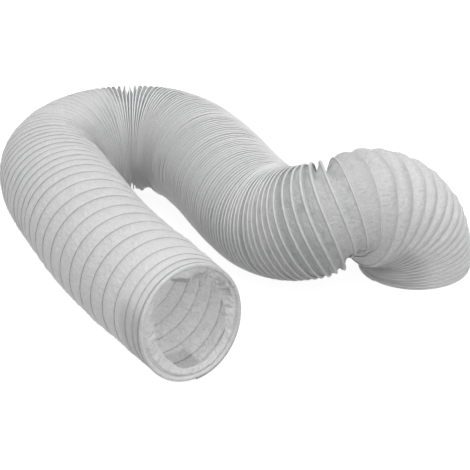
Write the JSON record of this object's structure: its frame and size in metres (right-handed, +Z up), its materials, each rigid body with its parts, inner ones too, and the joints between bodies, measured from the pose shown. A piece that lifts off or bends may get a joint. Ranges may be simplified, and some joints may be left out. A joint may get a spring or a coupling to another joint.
{
  "type": "flexible exhaust hose",
  "caption": "Flexible round duct of white vinyl film on a steel wire helix, lying in an S with one end bent down to the floor.",
  "frame": {"origin": "on the floor, under the middle of the lying hose's box", "axes": "+Z up; the front stretch of the hose runs along +Y, away from its open mouth, which faces -Y; the end that stands on the floor lies towards +X"},
  "size_m": [0.3782, 0.4226, 0.1181],
  "materials": {
    "vinyl_film": "thin white vinyl film, slightly translucent, satin",
    "spring_steel": "drawn spring wire"
  },
  "bodies": {
    "root": {"film_tube": "vinyl_film", "wire_helix": "spring_steel"}
  },
  "joints": []
}
